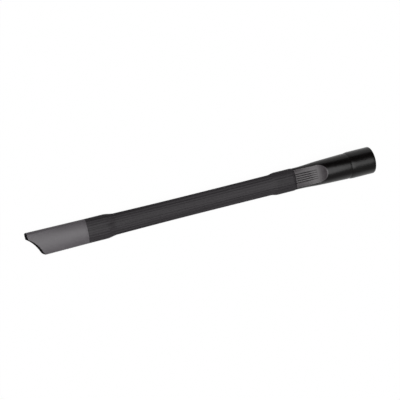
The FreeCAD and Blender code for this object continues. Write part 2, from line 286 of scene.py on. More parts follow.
class RingShell:
    """Closed shell drawn out of one ring of edges, place by place."""

    def __init__(self, count: int) -> None:
        """Start with a loose ring.

        Args:
            count: Points in the ring.
        """
        self.bm = bmesh.new()
        made = bmesh.ops.create_circle(self.bm, cap_ends=False, segments=count, radius=1.0)
        self.ring: list[BMVert] = made["verts"]
        self.first: list[BMVert] = []

    def _edges(self, ring: list[BMVert]) -> list[BMEdge]:
        """The edges round a ring."""
        return [self.bm.edges.get((a, b)) for a, b in zip(ring, ring[1:] + ring[:1])]

    def add(self, points: list[Vector]) -> list[BMVert]:
        """Extrude the ring to its next place.

        Args:
            points: Where the ring's points go, in metres.

        Returns:
            The ring's new points.
        """
        if self.first:
            grown = bmesh.ops.extrude_edge_only(self.bm, edges=self._edges(self.ring))
            fresh = {item for item in grown["geom"] if isinstance(item, BMVert)}
            self.ring = [self._partner(vert, fresh) for vert in self.ring]
        else:
            self.first = self.ring
        for vert, point in zip(self.ring, points):
            vert.co = point
        return self.ring

    @staticmethod
    def _partner(vert: BMVert, fresh: set) -> BMVert:
        """The new point that was drawn out of an old one."""
        return next(edge.other_vert(vert) for edge in vert.link_edges if edge.other_vert(vert) in fresh)

    def finish(self, name: str, crease_degrees: float = 32.0) -> Object:
        """Join the last ring to the first and make the piece.

        Args:
            name: Name of the piece.
            crease_degrees: Edges that turn by more than this stay sharp.

        Returns:
            The piece, in the scene.
        """
        bmesh.ops.bridge_loops(self.bm, edges=self._edges(self.first) + self._edges(self.ring))
        bmesh.ops.recalc_face_normals(self.bm, faces=self.bm.faces[:])
        for face in self.bm.faces:
            face.smooth = True
        mesh = bpy.data.meshes.new(name)
        self.bm.to_mesh(mesh)
        self.bm.free()
        mesh.set_sharp_from_angle(angle=math.radians(crease_degrees))
        return put(name, mesh)


@dataclass(frozen=True)
class Fits:
    """Sizes that the mouldings share where they meet."""

    connector_bell: Oval = Oval(34.5, 16.7)  # Outside of the tube's bell at the connector.
    tip_bell: Oval = Oval(36.7, 16.9)  # Outside of the tube's bell at the nozzle tip.
    bell_wall: float = 1.9
    clearance: float = 0.1  # Room round a spigot inside its bell.
    spigot_length: float = 26.0
    spigot_wall: float = 1.7
    spigot_lead: float = 1.5  # Length of a spigot's tapered end, which loses a third of the wall.
    spigot_break: float = 0.2
    spigot_counts: tuple[int, int] = (4, 6)  # Rings along a spigot's outside and inside.
    seam_lip: float = 0.6  # How far the bell stands proud of the connector.
    seam_break: float = 0.25  # Edge break of the flush seam at the tip.
    seam_steps: int = 3  # Steps round that edge.

    def spigot(self, bell: Oval) -> Oval:
        """Outside of the spigot that fits a bell."""
        return bell.inset(self.bell_wall + self.clearance)

    def seam_round(self) -> list[tuple[float, float]]:
        """The round on each edge of the flush seam."""
        return rounding(self.seam_break, self.seam_break, self.seam_steps)

    def spigot_rings(self, bell: Oval, seam: float, direction: int) -> list[tuple[float, Oval]]:
        """Walk from a seam along a spigot, round its free end and back inside.

        Args:
            bell: Outside of the bell that the spigot fits.
            seam: Distance of the seam.
            direction: 1 where the spigot points to the nozzle, -1 to the socket.

        Returns:
            Pairs of a distance and the section there.
        """
        outside = self.spigot(bell)
        inside = outside.inset(self.spigot_wall)
        nose = outside.inset(self.spigot_wall / 3)
        end = seam + direction * self.spigot_length
        shy = end - direction * self.spigot_break
        taper = end - direction * self.spigot_lead
        count_out, count_in = self.spigot_counts
        rings = [(seam, outside)]
        rings += [(place, outside) for place in steps(seam, taper, count_out)]
        rings += [(shy, nose), (end, nose.inset(self.spigot_break))]
        rings += [(end, inside.inset(-self.spigot_break)), (shy, inside)]
        return rings + [(place, inside) for place in steps(end, seam, count_in)]


@dataclass
class Moulding:
    """One moulding of the tool."""

    frame: ToolFrame  # Where the mouldings lie.
    fits: Fits  # Sizes that they share.

    @property
    def seam(self) -> float:
        """Distance of the seam between connector and tube."""
        return self.frame.connector_seam

    @staticmethod
    def dress(piece: Object, node: str, slot: str, finishes: list["MouldedFinish"]) -> None:
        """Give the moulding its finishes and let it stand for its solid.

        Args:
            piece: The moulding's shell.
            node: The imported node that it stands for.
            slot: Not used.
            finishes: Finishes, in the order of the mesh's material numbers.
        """
        for finish in finishes:
            piece.data.materials.append(finish.material())
        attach(piece, BODY)
        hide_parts(node)
        LOG.info("%s: %d faces", piece.name, len(piece.data.polygons))


@dataclass
class FlexibleTube(Moulding):
    """Soft flat tube with reeded broad faces and a bell at each end."""

    connector_shoulder: float = 11.5  # Length of the slope behind the connector's bell.
    tip_shoulder: float = 17.5  # Length of the slope behind the tip's bell.
    bell_length: float = 29.0
    width_at_connector: float = 31.1  # Width beside the connector's shoulder.
    width_at_waist: float = 30.5  # Least width, half way along.
    width_at_tip: float = 32.2  # Width beside the tip's shoulder.
    thickness: float = 13.4  # Thickness between the bells.
    wall: float = 1.6  # Wall between the bells.
    reed_count: int = 8  # Reeds across each broad face.
    reed_depth: float = 0.06  # Depth of the valleys, as a part of the reeds' pitch.
    reed_steps: int = 8  # Steps across one reed.
    side_steps: int = 14  # Steps round each narrow side.
    lip: tuple[float, float] = (5.0, 1.6)  # Length and depth of the round on the proud bell.
    ring_counts: tuple[int, ...] = (4, 14, 36, 18, 4)  # Rings along bell, shoulder, run, shoulder and bell.
    bore_stations: tuple[int, int] = (3, 2)  # First of those rings that the inside has too, and its step.

    @property
    def length(self) -> float:
        """Length from seam to seam."""
        return self.frame.tip_seam - self.seam

    @property
    def run(self) -> tuple[float, float]:
        """Start and end of the run between the shoulders, from the connector's seam."""
        start = self.connector_shoulder + self.bell_length
        return start, self.length - self.tip_shoulder - self.bell_length

    @property
    def plan(self) -> RingPlan:
        """How a ring is shared out."""
        return RingPlan(self.reed_count * self.reed_steps, self.side_steps)

    def bells(self, along: float) -> tuple[float, float]:
        """How far the tube has widened into its bell at the connector and at the tip."""
        first, last = self.run
        return (
            eased(0, 1, (first - along) / self.connector_shoulder),
            eased(0, 1, (along - last) / self.tip_shoulder),
        )

    def section(self, along: float) -> Oval:
        """Find the outside of the tube, without its reeds.

        Args:
            along: From the connector's seam.

        Returns:
            The section there.
        """
        first, last = self.run
        place = min(max(2 * (along - first) / (last - first) - 1, -1.0), 1.0)
        end_width = self.width_at_connector if place < 0 else self.width_at_tip
        width = self.width_at_waist + (end_width - self.width_at_waist) * place ** 2
        near, far = self.bells(along)
        section = Oval(width, self.thickness).toward(self.fits.connector_bell, near)
        return section.toward(self.fits.tip_bell, far)

    def bore(self, along: float) -> Oval:
        """Inside of the tube at a distance from the connector's seam."""
        wall = self.wall + (self.fits.bell_wall - self.wall) * max(self.bells(along))
        return self.section(along).inset(wall)

    def valley(self, zone: Zone, fraction: float) -> float:
        """Find the depth of the reeds' valleys at a place round the section.

        Args:
            zone: Quarter of the outline.
            fraction: Place in that quarter.

        Returns:
            Depth, where 1 is the bottom of a valley.
        """
        if not zone.broad:
            return 0.0
        place = fraction * self.reed_count
        reed = min(int(place), self.reed_count - 1)
        off_crest = 2 * (place - reed) - 1
        outer_edge = (reed == 0 and off_crest < 0) or (reed == self.reed_count - 1 and off_crest > 0)
        return 0.0 if outer_edge else off_crest ** 2

    def ring(self, along: float, section: Oval) -> list[Vector]:
        """Find the points of one reeded ring.

        Args:
            along: From the connector's seam.
            section: Section to follow.

        Returns:
            The points, in metres.
        """
        pitch = 2 * section.lean * section.face_radius / self.reed_count
        depth = self.reed_depth * pitch
        points = []
        for zone, fraction in self.plan.places():
            sunk = section.inset(depth * self.valley(zone, fraction))
            y, z = sunk.around(zone, fraction)
            points.append(self.frame.place(self.seam + along, y, z))
        return points

    def bore_ring(self, along: float) -> list[Vector]:
        """Points of one ring of the smooth inside."""
        return self.plan.ring(self.frame, self.seam + along, self.bore(along))

    def stations(self) -> list[float]:
        """Distances of the rings between the two lips, from the connector's seam."""
        marks = (
            self.lip[0] - self.frame.lap, self.bell_length, *self.run,
            self.length - self.bell_length, self.length - self.fits.seam_break,
        )
        return chained(marks, self.ring_counts)

    def build(self) -> None:
        """Build the tube as one closed shell."""
        shell = RingShell(self.plan.count)
        edge = -self.frame.lap
        shell.add(self.bore_ring(edge))
        for back, inset in rounding(*self.lip):
            shell.add(self.ring(edge + back, self.section(edge + back).inset(inset)))
        for along in self.stations():
            shell.add(self.ring(along, self.section(along)))
        for back, inset in reversed(self.fits.seam_round()[:-1]):
            along = self.length - back
            shell.add(self.ring(along, self.section(along).inset(inset)))
        shell.add(self.bore_ring(self.length))
        first_inside, inside_step = self.bore_stations
        for along in reversed(self.stations()[first_inside:-1:inside_step]):
            shell.add(self.bore_ring(along))
        piece = shell.finish("flexible_tube_moulding")
        self.dress(piece, "flexible_tube", "tube_elastomer", [MATT_ELASTOMER])


@dataclass(frozen=True)
class MouthOutline:
    """Outline of the nozzle's mouth seen square to the broad face.

    A short square hook stands at +Y.  From its inner corner a hollow arc runs
    back to a round heel on the other side.
    """

    point: float  # Distance of the hook's end from the socket.
    half_width: float
    hook_width: float = 10.2  # Width of the hook's square end.
    hook_lean: float = 0.95  # How far the hook's inner corner lies behind its point.
    heel_setback: float = 21.2  # How far the heel lies behind the point.
    hollow: float = 3.3  # Depth of the arc between hook and heel.
    hook_radius: float = 1.5  # Rounds on the hook's two corners.
    heel_radius: float = 8.0

    @property
    def slope(self) -> float:
        """Slope of the hook's end."""
        return self.hook_lean / self.hook_width

    @property
    def hook_back(self) -> float:
        """How far the centres of the hook's rounds lie behind its end."""
        return self.hook_radius * math.hypot(1, self.slope)

    def hook_end(self, y: float) -> float:
        """Distance of the hook's end at a place across the width."""
        return self.point - self.slope * (self.half_width - y)

    def hollow_arc(self) -> tuple[float, float, float]:
        """Find the circle of the hollow arc.

        Returns:
            Distance and Y of its centre, and its radius.
        """
        corner_y = self.half_width - self.hook_width
        top = Vector((self.hook_end(corner_y), corner_y))
        heel = Vector((self.point - self.heel_setback, -self.half_width))
        chord = heel - top
        forward = Vector((-chord.y, chord.x)).normalized()
        radius = (chord.length ** 2 / 4 + self.hollow ** 2) / (2 * self.hollow)
        centre = (top + heel) / 2 + forward * (radius - self.hollow)
        return centre.x, centre.y, radius

    def hook_corner_y(self) -> float:
        """Find the round on the hook's inner corner, which touches its end and the hollow arc.

        Returns:
            Y of its centre.
        """
        x, y, radius = self.hollow_arc()
        ahead = self.hook_end(0.0) - self.hook_back - x
        square = 1 + self.slope ** 2
        middle = y - self.slope * ahead
        rest = ahead ** 2 + y ** 2 - (radius + self.hook_radius) ** 2
        return (middle + math.sqrt(middle ** 2 - square * rest)) / square

    def reach(self, y: float) -> float:
        """Find where the rim stands at a place across the width.

        Args:
            y: Place across the width.

        Returns:
            Distance of the rim from the socket.
        """
        x, centre_y, radius = self.hollow_arc()
        heel_y = self.heel_radius - self.half_width
        heel_x = x - math.sqrt((radius + self.heel_radius) ** 2 - (heel_y - centre_y) ** 2)
        heel_end = heel_y + self.heel_radius * (centre_y - heel_y) / (radius + self.heel_radius)
        if y < heel_end:
            return heel_x + math.sqrt(max(self.heel_radius ** 2 - (y - heel_y) ** 2, 0.0))
        corner_y = self.hook_corner_y()
        corner_start = corner_y + self.hook_radius * (centre_y - corner_y) / (radius + self.hook_radius)
        if y < corner_start:
            return x - math.sqrt(radius ** 2 - (y - centre_y) ** 2)
        outer_y = self.half_width - self.hook_radius
        for round_y, beyond in ((corner_y, y < corner_y), (outer_y, y > outer_y)):
            if beyond:
                half_chord = math.sqrt(max(self.hook_radius ** 2 - (y - round_y) ** 2, 0.0))
                return self.hook_end(round_y) - self.hook_back + half_chord
        return self.hook_end(y)


@dataclass
class NozzleTip(Moulding):
    """Stiff flat nozzle with a hooked, raked mouth and a spigot at the back."""

    mouth_section: Oval = Oval(38.4, 13.0, 13.0)  # Outside at the hook's end.
    wall: float = 1.8  # Wall of the nozzle.
    core_taper: float = 10.0  # Length over which the inside opens from the spigot.
    lip_round: float = 0.35  # Round on both edges of the mouth's rim.
    land: float = 1.1  # Width of the smooth land that the grain leaves round the mouth.
    # Parts of the way from the seam to the rim between which rings turn to its rake.
    raked: tuple[float, float] = (0.02, 0.94)
    rim_setback: float = 2.5  # Distance behind the rim of the ring before the land.
    core_setbacks: tuple[float, ...] = (1.0, 3.0)  # Distances behind the rim of the first rings inside.
    ring_counts: tuple[int, int] = (22, 12)  # Raked rings outside and inside.
    passes: int = 3  # Passes that settle a point between its section and the rim.
    plan: RingPlan = RingPlan(88, 16)
    mouth: MouthOutline = field(init=False)

    def __post_init__(self) -> None:
        """Work out the mouth's outline."""
        self.mouth = MouthOutline(self.frame.point, self.mouth_section.width / 2)

    def section(self, distance: float) -> Oval:
        """Outside of the nozzle at a distance from the socket's open end."""
        share = (distance - self.frame.tip_seam) / (self.frame.point - self.frame.tip_seam)
        return self.fits.tip_bell.toward(self.mouth_section, share)

    def ring(self, share: float, back: float, inset: float) -> list[Vector]:
        """Find the points of one ring between the seam and the raked rim.

        Args:
            share: Part of the way from the seam to the rim.
            back: Distance that the ring lies behind that place.
            inset: Distance inside the outer face.

        Returns:
            The points, in metres.
        """
        seam = self.frame.tip_seam
        points = []
        for zone, fraction in self.plan.places():
            distance = seam + share * (self.frame.point - seam)
            for _ in range(self.passes):
                y, z = self.section(distance).inset(inset).around(zone, fraction)
                distance = seam + share * (self.mouth.reach(y) - seam) - back
            points.append(self.frame.place(distance, y, z))
        return points

    def build(self) -> None:
        """Build the nozzle as one closed shell with its smooth inside marked; that inside's near-black
        finish paints shade into the mouth.
        """
        shell = RingShell(self.plan.count)
        seam = self.frame.tip_seam
        first, last = self.raked
        count_out, count_in = self.ring_counts
        for along, inset in self.fits.seam_round():
            section = self.section(seam + along).inset(inset)
            shell.add(self.plan.ring(self.frame, seam + along, section))
        for share in steps(first, last, count_out):
            shell.add(self.ring(share, 0.0, 0.0))
        for back in (self.rim_setback, self.land):
            shell.add(self.ring(1.0, back, 0.0))
        grained = set(shell.bm.faces)
        rim = rounding(self.lip_round, self.lip_round)
        for back, inset in reversed(rim):
            shell.add(self.ring(1.0, back, inset))
        for back, inset in rim + [(back, 0.0) for back in self.core_setbacks]:
            shell.add(self.ring(1.0, back, self.wall - inset))
        for share in steps(last, self.core_taper / (self.frame.point - seam), count_in):
            shell.add(self.ring(share, 0.0, self.wall))
        for distance, section in reversed(self.fits.spigot_rings(self.fits.tip_bell, seam, -1)):
            shell.add(self.plan.ring(self.frame, distance, section))
        # The land, the rim and the whole inside take the smooth finish, kept near black as painted shade in
        # the mouth.
        for face in shell.bm.faces:
            face.material_index = int(face not in grained)
        piece = shell.finish("nozzle_tip_moulding")
        self.dress(piece, "nozzle_tip", "tip_plastic", [GRAINED_POLYPROPYLENE, SMOOTH_POLYPROPYLENE_AND_PAINTED_SHADE])


@dataclass
class Connector(Moulding):
    """Stiff moulding that goes from the round wand socket to a flat oval."""

    socket_radius: float = 17.7
    socket_depth: float = 40.0  # Depth at which a ledge stops the wand.
    socket_lead_in: float = 1.0  # Bevel of the socket's mouth.
    stop_ledge: float = 1.7  # Width of that ledge.
    collar_wall: float = 3.05
    collar_straight: float = 33.8  # Length of the collar's straight outside.
    # Length and depth of the round behind it, down to a fine groove at its foot.
    collar_round: tuple[float, float] = (7.4, 1.02)
    collar_step: float = 0.95  # How far the collar stands proud of the neck.
    neck_start: float = 43.0  # Distance at which the neck starts, past the groove.
    collar_edge: float = 1.2  # Round of the collar's open edge.
    edge_steps: int = 5  # Steps round that edge.
    # Growth of the width from the seam to the neck, in even steps.
    neck_growth: tuple[float, ...] = (0.0, 0.02, 0.11, 0.28, 0.475, 0.61, 0.71, 0.795, 0.87, 0.96, 1.0)
    throat_round: float = 70.0  # Distance at which the throat starts to flatten.
    throat_flat: float = 102.0  # Distance at which it is flat.
    panel_length: float = 53.0  # Seam to the round end of the grip panel.
    panel_width: float = 28.2
    panel_sink: float = 0.4  # Depth of the panel's floor.
    panel_flat: float = 32.0  # Seam to the start of the scooped end.
    panel_crown: float = 1.0  # Rise of the floor across its width at the scoop.
    panel_wall: float = 0.5  # Width of the rounded wall round the panel.
    panel_margin: float = 1.0  # Length before the panel at which the fine rings start.
    scoop_radius: float = 33.0
    rib_count: int = 5  # Finger ribs on a panel.
    rib_pitch: float = 3.2
    rib_radius: float = 1.1  # Radius of a rib's back.
    rib_height: float = 0.4  # Height of a rib over the floor.
    rib_length: float = 38.0  # Seam to the far end of the ribs.
    rib_fade: float = 17.0  # Length over which the ribs sink into the floor at the far end.
    rib_shade_half_width: float = 0.4  # Half width of the satin-black strip left on each rib's crest: painted shade standing in for the ribs' shaded sides.
    # Rings along the collar, its round, the groove, the neck and the panel.
    outer_counts: tuple[int, ...] = (6, 10, 5, 18, 104)
    inner_counts: tuple[int, ...] = (26, 4, 5)  # Rings along the flat and the round throat and the socket.
    plan: RingPlan = RingPlan(90, 14)
    face_reach: float = 14.4  # Half width that the even columns of a ring cover.

    @property
    def collar(self) -> Oval:
        """Round section of the collar."""
        diameter = 2 * (self.socket_radius + self.collar_wall)
        return Oval(diameter, diameter)

    @property
    def collar_foot(self) -> float:
        """Distance of the foot of the round behind the collar."""
        return self.collar_straight + self.collar_round[0]

    @property
    def rib_far(self) -> float:
        """Distance at which the crests of the ribs end."""
        return self.seam - self.rib_length + self.rib_radius

    def sunk(self, distance: float) -> float:
        """Find the depth under the collar's outside, up to the start of the neck.

        Args:
            distance: From the socket's open end.

        Returns:
            The depth there.
        """
        length, depth = self.collar_round
        if distance <= self.collar_foot:
            along = max(distance - self.collar_straight, 0.0) / length
            return depth * (1 - math.sqrt(max(1 - along ** 2, 0.0)))
        past = (distance - self.collar_foot) / (self.neck_start - self.collar_foot)
        return eased(depth, self.collar_step, past)

    def growth(self, place: float) -> float:
        """Find the smooth growth of the width between the seam and the neck.

        Args:
            place: 0 at the seam and 1 at the neck.

        Returns:
            0 at the seam's width and 1 at the neck's.
        """
        values = self.neck_growth
        step = min(int(place * (len(values) - 1)), len(values) - 2)
        part = place * (len(values) - 1) - step
        before, after = values[max(step - 1, 0)], values[min(step + 2, len(values) - 1)]
        start, end = values[step], values[step + 1]
        leave, arrive = (end - before) / 2, (after - start) / 2
        bend = 3 * (end - start) - 2 * leave - arrive
        return start + part * (leave + part * (bend + part * (leave + arrive - 2 * (end - start))))

    def section(self, distance: float) -> Oval:
        """Find the outside of the connector, without its grip panels.

        Args:
            distance: From the socket's open end.

        Returns:
            The section there.
        """
        if distance <= self.neck_start:
            return self.collar.inset(self.sunk(distance))
        seam = self.seam
        place = min(max((seam - distance) / (seam - self.neck_start), 0.0), 1.0)
        flat = self.fits.connector_bell.inset(self.fits.seam_lip)
        neck = self.collar.inset(self.sunk(self.neck_start))
        swell = math.sin(math.pi / 2 * place)
        return Oval(
            flat.width + (neck.width - flat.width) * self.growth(place),
            flat.thickness + (neck.thickness - flat.thickness) * swell,
        )

    def throat(self, distance: float) -> Oval:
        """Find the inside of the connector between the ledge and the spigot.

        Args:
            distance: From the socket's open end.

        Returns:
            The section there.
        """
        flat = self.fits.spigot(self.fits.connector_bell).inset(self.fits.spigot_wall)
        round_size = 2 * (self.socket_radius - self.stop_ledge)
        closing = (distance - self.throat_round) / (self.throat_flat - self.throat_round)
        narrowing = (distance - self.throat_round) / (self.seam - self.throat_round)
        return Oval(eased(round_size, flat.width, narrowing), eased(round_size, flat.thickness, closing))

    def height(self, distance: float, y: float) -> float:
        """Height of the body's upper face."""
        section = self.section(distance)
        return section.point(section.lean_at(y))[1]

    def panel_floor(self, distance: float, y: float) -> float:
        """Find the height of the grip panel's floor.

        Args:
            distance: From the socket's open end.
            y: Place across the width.

        Returns:
            Height of the floor over the axis.
        """
        seam, half = self.seam, self.panel_width / 2
        scoop = seam - self.panel_flat
        middle_at_seam = self.height(seam, 0.0) - self.panel_sink
        edge_at_seam = self.height(seam, half) - self.panel_sink
        edge_at_scoop = self.height(scoop, half) - self.panel_sink
        middle_at_scoop = edge_at_scoop + self.panel_crown
        along = min((seam - distance) / self.panel_flat, 1.0)
        past = max(scoop - distance, 0.0)
        rise = past * (middle_at_scoop - middle_at_seam) / self.panel_flat
        rise += self.scoop_radius - math.sqrt(self.scoop_radius ** 2 - past ** 2)
        middle = middle_at_seam + (middle_at_scoop - middle_at_seam) * along + rise
        edge = edge_at_seam + (edge_at_scoop - edge_at_seam) * along + rise
        crown = middle - edge
        radius = (half ** 2 + crown ** 2) / (2 * crown)
        return middle - radius + math.sqrt(radius ** 2 - y ** 2)

    def inside_panel(self, distance: float, y: float) -> float:
        """Distance from a place in the panel's plan to its edge, negative outside it."""
        round_start = self.seam - self.panel_length + self.panel_width / 2
        return self.panel_width / 2 - math.hypot(min(distance - round_start, 0.0), y)

    def off_crest(self, distance: float, y: float) -> float:
        """How far a place lies from the crest of the nearest rib; the ribs run in under the bell."""
        number = min(max(round(y / self.rib_pitch), -(self.rib_count // 2)), self.rib_count // 2)
        return math.hypot(max(self.rib_far - distance, 0.0), y - number * self.rib_pitch)

    def rib(self, distance: float, y: float) -> float:
        """Height of the finger ribs over the panel's floor."""
        sunk = self.rib_radius - eased(0.0, self.rib_height, (distance - self.rib_far) / self.rib_fade)
        return max(math.sqrt(max(self.rib_radius ** 2 - self.off_crest(distance, y) ** 2, 0.0)) - sunk, 0.0)

    def etched(self, distance: float, y: float) -> bool:
        """Whether a place on a broad face has the grip panel's grain; the ribs' crests are kept satin black
        as painted shade.
        """
        on_floor = self.inside_panel(distance, y) > self.panel_wall / 2
        # Rib crests stay satin black: painted shade lines along the ribs.
        return on_floor and self.off_crest(distance, y) > self.rib_shade_half_width

    def panelled(self, distance: float, y: float, z: float) -> float:
        """Lower a point of the upper face where the grip panel is sunk.

        Args:
            distance: From the socket's open end.
            y: Place across the width.
            z: Height of the body there.

        Returns:
            The height with the panel.
        """
        inside = self.inside_panel(distance, y)
        if inside <= 0:
            return z
        depth = max(z - self.panel_floor(distance, y), 0.0)
        share = eased(0.0, 1.0, inside / self.panel_wall)
        return z - depth * share + self.rib(distance, y) * share

    def outer_ring(self, distance: float) -> tuple[list[Vector], list[bool]]:
        """Find the points of one ring of the outside.

        Args:
            distance: From the socket's open end.

        Returns:
            The points in metres, and which of them have the grip panel's grain.
        """
        section = self.section(distance)
        near_panel = distance > self.seam - self.panel_length
        points, grained = [], []
        for zone, fraction in self.plan.places():
            y, z = section.around(zone, fraction, self.face_reach)
            may_sink = near_panel and zone.broad
            if may_sink:
                z = math.copysign(self.panelled(distance, y, abs(z)), z)
            points.append(self.frame.place(distance, y, z))
            grained.append(may_sink and self.etched(distance, y))
        return points, grained

    def plain_ring(self, distance: float, section: Oval) -> list[Vector]:
        """Points of one ring of a plain section, with columns as on the outside."""
        return self.plan.ring(self.frame, distance, section, section.point(math.pi / 4)[0])

    def outer_stations(self) -> list[float]:
        """Place the rings of the outside.

        Returns:
            Their distances, from the collar's edge to the bell.
        """
        straight, behind, groove, neck, panel = self.outer_counts
        panel_start = self.seam - self.panel_length - self.panel_margin
        backs = [back for back, _ in reversed(rounding(*self.collar_round, behind))]
        places = steps(self.collar_edge, self.collar_straight, straight)
        places += [self.collar_foot - back for back in backs[1:]]
        marks = (self.collar_foot, self.neck_start, panel_start, self.frame.bell_edge)
        return places + chained(marks, (groove, neck, panel))

    def inner_rings(self) -> list[tuple[float, Oval]]:
        """Place the rings of the inside.

        Returns:
            Their distances and sections, from the spigot's root back to the socket's open end.
        """
        bore = Oval(2 * self.socket_radius, 2 * self.socket_radius)
        marks = (self.frame.bell_edge, self.throat_round, self.socket_depth)
        rings = [(place, self.throat(place)) for place in chained(marks, self.inner_counts)]
        rings += [(self.socket_depth, bore)]
        socket = steps(self.socket_depth, self.socket_lead_in, self.inner_counts[-1])
        rings += [(place, bore) for place in socket]
        return rings + [(0.0, bore.inset(-self.socket_lead_in))]

    def build(self) -> None:
        """Build the connector as one closed shell with its panels marked."""
        shell = RingShell(self.plan.count)
        panel: set[BMVert] = set()
        for along, inset in rounding(self.collar_edge, self.collar_edge, self.edge_steps):
            shell.add(self.plain_ring(along, self.collar.inset(inset)))
        for distance in self.outer_stations():
            points, grained = self.outer_ring(distance)
            verts = shell.add(points)
            panel.update(vert for vert, inside in zip(verts, grained) if inside)
        spigot = self.fits.spigot_rings(self.fits.connector_bell, self.frame.bell_edge, 1)
        for distance, section in spigot + self.inner_rings():
            shell.add(self.plain_ring(distance, section))
        for face in shell.bm.faces:
            face.material_index = int(all(vert in panel for vert in face.verts))
        piece = shell.finish("connector_moulding")
        self.dress(piece, "connector", "connector_plastic", [SATIN_ABS, ETCHED_ABS])


def linear(colour: str) -> tuple[float, float, float, float]:
    """Turn an sRGB hex colour into linear red, green and blue with an alpha of 1."""
    channels = [int(colour[place:place + 2], 16) / 255 for place in (1, 3, 5)]
    return (*(c / 12.92 if c <= 0.04045 else ((c + 0.055) / 1.055) ** 2.4 for c in channels), 1.0)


def cleared(owner: Any) -> NodeTree:
    """Give a material or world an empty node tree.

    Args:
        owner: The material or world.

    Returns:
        The tree.
    """
    owner.use_nodes = True
    owner.node_tree.nodes.clear()
    return owner.node_tree


def add_node(tree: NodeTree, kind: str, inputs: dict[Any, Any], **settings: Any) -> Node:
    """Add one node to a tree.

    Args:
        tree: Tree that gets the node.
        kind: Blender's name for the kind of node.
        inputs: Values for the node's inputs, or the sockets that feed them.
        settings: Values for the node's own properties.

    Returns:
        The node.
    """
    node = tree.nodes.new(kind)
    for name, value in settings.items():
        setattr(node, name, value)
    for name, value in inputs.items():
        if isinstance(value, NodeSocket):
            tree.links.new(value, node.inputs[name])
        else:
            node.inputs[name].default_value = value
    return node


def reckon(tree: NodeTree, operation: str, first: Any, second: Any) -> NodeSocket:
    """Join two values or sockets by an operation and give its result."""
    return add_node(tree, "ShaderNodeMath", {0: first, 1: second}, operation=operation).outputs["Value"]


def shown_rays(tree: NodeTree) -> NodeSocket:
    """Tell the rays that show the background from those that only carry light.

    Args:
        tree: Tree that gets the nodes.

    Returns:
        Socket that is 1 for rays seen directly, in a reflection or through glass.
    """
    rays = add_node(tree, "ShaderNodeLightPath", {})
    shown = rays.outputs["Is Camera Ray"]
    for kind in ("Is Glossy Ray", "Is Transmission Ray"):
        shown = reckon(tree, "MAXIMUM", shown, rays.outputs[kind])
    return shown


@dataclass(frozen=True)
class MouldedFinish:
    """Surface of a moulding, as its mould and its material leave it."""

    name: str  # What the material is.
    dark: str  # Colour in the hollows of the grain.
    light: str  # Colour on its crests.
    roughness: float  # Mean roughness.
    roughness_spread: float  # How far roughness wanders with the grain.
    ior: float  # Index of refraction.
    grain_mm: tuple[float, float, float]  # Size of one grain along X, Y and Z.
    grain_depth_mm: float
    cloud_mm: tuple[float, float, float]  # Size of the soft clouds in tone along X, Y and Z.
    specular: float  # Strength of the reflection, where 0.5 is what the index gives.
    grain_detail: float = 3.0  # Octaves of finer noise in the grain.
    cloud_detail: float = 2.0  # Octaves of finer noise in the clouds.
    octave_share: float = 0.55  # Strength of each octave against the one before.
    mixed: tuple[float, float] = (0.7, 1.3)  # Range in which grain and clouds, added up, mostly lie.

    def pattern(
        self, tree: NodeTree, size_mm: tuple[float, float, float], detail: float,
    ) -> NodeSocket:
        """Add a noise whose features have a real size.

        Args:
            tree: Tree that gets the nodes.
            size_mm: Size of a feature along X, Y and Z.
            detail: Octaves of finer noise.

        Returns:
            The noise's value.
        """
        place = add_node(tree, "ShaderNodeTexCoord", {}).outputs["Object"]
        per_metre = [1 / (size * MM) for size in size_mm]
        mapping = add_node(tree, "ShaderNodeMapping", {"Vector": place, "Scale": per_metre})
        place = mapping.outputs["Vector"]
        inputs = {"Vector": place, "Scale": 1.0, "Detail": detail, "Roughness": self.octave_share}
        return add_node(tree, "ShaderNodeTexNoise", inputs).outputs["Fac"]

    def material(self) -> Material:
        """Make the material.

        Returns:
            The material, with its grain and its clouds in tone.
        """
        made = bpy.data.materials.new(self.name)
        tree = cleared(made)
        grain = self.pattern(tree, self.grain_mm, self.grain_detail)
        clouds = self.pattern(tree, self.cloud_mm, self.cloud_detail)
        low, high = self.mixed
        blend = {"Value": reckon(tree, "ADD", grain, clouds), "From Min": low, "From Max": high}
        tone = add_node(tree, "ShaderNodeMapRange", blend, clamp=True)
        tones = {"Factor": tone.outputs["Result"], "A": linear(self.dark), "B": linear(self.light)}
        colour = add_node(tree, "ShaderNodeMix", tones, data_type="RGBA")
        spread = self.roughness_spread
        gloss_range = {"To Min": self.roughness - spread, "To Max": self.roughness + spread}
        gloss = add_node(tree, "ShaderNodeMapRange", blend | gloss_range)
        relief = {"Height": grain, "Strength": 1.0, "Distance": self.grain_depth_mm * MM}
        bump = add_node(tree, "ShaderNodeBump", relief)
        shader = add_node(
            tree, "ShaderNodeBsdfPrincipled",
            {
                "Base Color": colour.outputs["Result"], "Roughness": gloss.outputs["Result"],
                "Normal": bump.outputs["Normal"], "IOR": self.ior, "Specular IOR Level": self.specular,
            },
        )
        add_node(tree, "ShaderNodeOutputMaterial", {"Surface": shader.outputs["BSDF"]})
        return made


# Black ABS from a polished mould: deep black with broad, soft-edged highlights.
SATIN_ABS = MouldedFinish(
    name="satin_black_abs", dark="#060404", light="#0a0808", roughness=0.3, roughness_spread=0.02, ior=1.52,
    grain_mm=(2.5, 2.5, 2.5), grain_depth_mm=0.002, cloud_mm=(30.0, 12.0, 12.0), specular=0.21,
)

# Polypropylene from a spark-eroded mould: an even grain that scatters light to a flat dark grey.
# The real grain is about 0.2 mm; it is drawn coarser so that it still shows from a step away.
GRAINED_POLYPROPYLENE = MouldedFinish(
    name="grained_black_polypropylene", dark="#4a464a", light="#565256", roughness=0.5,
    roughness_spread=0.03, ior=1.49, grain_mm=(1.4, 1.4, 1.4), grain_depth_mm=0.012,
    cloud_mm=(40.0, 14.0, 14.0), specular=0.6,
)

